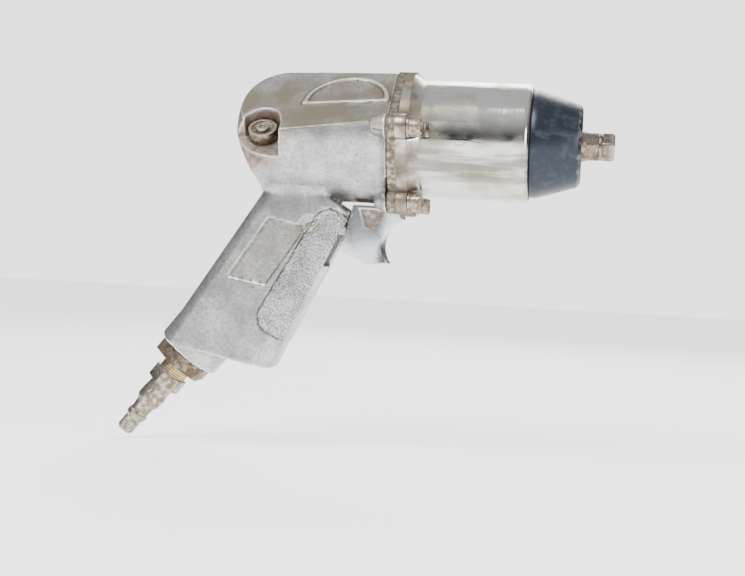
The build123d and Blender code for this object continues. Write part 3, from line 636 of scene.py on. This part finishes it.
# ---------------------------------------------------------------- regulator
# A knurled steel dial sets the air. It turns in an open pocket at the back of the flat, held by
# a socket screw, and it is brown with oil except along its rubbed rim.
dial_steel = Finish("dial_steel", {"Metallic": 1.0})
dial_dirt = dial_steel.ramp(dial_steel.noise(420, 4), 0.30, 0.62)
dial_foot = 0.0087
rim_height = 0.0048
dial_rise = dial_steel.along(flat_normal)
rim = dial_steel.ramp(dial_rise, dial_foot + rim_height, dial_foot + rim_height + 0.0007)
dial_colour = dial_steel.tint(dial_dirt, rgb(0.36, 0.31, 0.235), rgb(0.15, 0.115, 0.08))
dial_colour = dial_steel.tint(rim * 0.35, dial_colour, rgb(0.62, 0.58, 0.50))
dial_steel.drive("Base Color", dial_colour)
dial_steel.drive("Roughness", 0.28 + dial_dirt * 0.25)
dial_steel.relief(dial_steel.noise(1200, 3), 0.00006)
dressed("regulator_dial", "regulator", dial_steel, 0.00012)
dressed("dial_screw", "regulator", dial_steel, 0.00015)

# ---------------------------------------------------------------- air inlet and hose plug
# A steel bushing screws into the boss against a fibre washer, and the hose plug screws into the
# bushing over its brass-coloured pipe thread. Both are worn through their plating.
plug_steel = Finish("plug_steel", {"Metallic": 1.0})
plug_dirt = plug_steel.ramp(plug_steel.noise(430, 7), 0.32, 0.66)
plug_rub = plug_steel.ramp(plug_steel.noise(420, 3), 0.58, 0.70)
plug_colour = plug_steel.tint(plug_dirt, rgb(0.43, 0.39, 0.33), rgb(0.19, 0.15, 0.11))
plug_colour = plug_steel.tint(plug_rub * 0.5, plug_colour, rgb(0.68, 0.64, 0.57))
plug_steel.drive("Base Color", plug_colour)
plug_steel.drive("Roughness", 0.24 + plug_dirt * 0.26)
plug_steel.relief(plug_dirt + plug_steel.noise(1000) * 0.5, 0.00006)
dressed("hose_plug", "tool", plug_steel, 0.0003)

# the pipe thread between the two hexagons, brassy from its plating and sealing tape
inlet_lean = math.radians(38)
inlet_direction = Vector((-math.sin(inlet_lean), 0, -math.cos(inlet_lean)))
bushing_depth = 0.0077
thread_start = Vector((-0.1893, 0, -0.1025)) + inlet_direction * bushing_depth
thread_radius = 0.0063
thread_pitch = 0.00115
thread_turns = 4
thread_ridge = 0.0005
bpy.ops.object.select_all(action="DESELECT")
bpy.ops.mesh.primitive_circle_add(
    vertices=6, radius=thread_ridge, location=(thread_radius, 0, 0), rotation=(math.pi / 2, 0, 0)
)
thread = bpy.context.active_object
thread.name = "plug_thread"
bpy.ops.object.transform_apply()
thread_steps = 40
use_modifier(
    thread,
    "SCREW",
    axis="Z",
    screw_offset=thread_pitch,
    iterations=thread_turns,
    steps=thread_steps,
    render_steps=thread_steps,
)
thread.data.transform(
    Matrix.Translation(thread_start) @ inlet_direction.to_track_quat("Z", "Y").to_matrix().to_4x4()
)
pick(thread)
bpy.ops.object.mode_set(mode="EDIT")
bpy.ops.mesh.select_all(action="SELECT")
bpy.ops.mesh.fill_holes(sides=8)
bpy.ops.mesh.normals_make_consistent(inside=False)
bpy.ops.object.mode_set(mode="OBJECT")
bpy.ops.object.shade_smooth_by_angle(angle=math.radians(50))
thread.data.materials.append(brass.material)
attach(thread, "tool")

bushing_steel = Finish("bushing_steel", {"Metallic": 1.0})
bushing_rust = bushing_steel.ramp(bushing_steel.noise(380, 7), 0.26, 0.60)
bushing_colour = bushing_steel.tint(bushing_rust, rgb(0.33, 0.28, 0.22), rgb(0.13, 0.09, 0.06))
bushing_steel.drive("Base Color", bushing_colour)
bushing_steel.drive("Roughness", 0.30 + bushing_rust * 0.3)
bushing_steel.relief(bushing_rust + bushing_steel.noise(900) * 0.6, 0.00010)
dressed("inlet_bushing", "tool", bushing_steel, 0.0006)

washer_fibre = Finish("washer_fibre", {"Metallic": 0.0})
washer_grain = washer_fibre.noise(900, 4)
washer_colour = washer_fibre.tint(washer_grain, rgb(0.10, 0.055, 0.03), rgb(0.17, 0.10, 0.06))
washer_fibre.drive("Base Color", washer_colour)
washer_fibre.drive("Roughness", 0.6 + washer_grain * 0.3)
washer_fibre.relief(washer_grain, 0.00006)
dressed("inlet_washer", "tool", washer_fibre, 0.0001)

# ---------------------------------------------------------------- parts inside the casings
# The motor, its bearings and the hammers run in oil and are ground steel. The blades are
# phenolic laminate. None of them shows until the tool is opened.
blade_laminate = Finish("blade_laminate", {"Metallic": 0.0})
layers = blade_laminate.noise(900, 3, blade_laminate.stretched((1, 0.2, 0.2)))
blade_colour = blade_laminate.tint(layers, rgb(0.30, 0.17, 0.08), rgb(0.16, 0.09, 0.05))
blade_laminate.drive("Base Color", blade_colour)
blade_laminate.drive("Roughness", 0.45 + layers * 0.2)
inner_finishes = {"rotor_blades": blade_laminate}
for node_name, node_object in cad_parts.items():
    if not node_object.hide_render:
        node_object.data.materials.clear()
        node_object.data.materials.append(inner_finishes.get(node_name, oiled_steel).material)
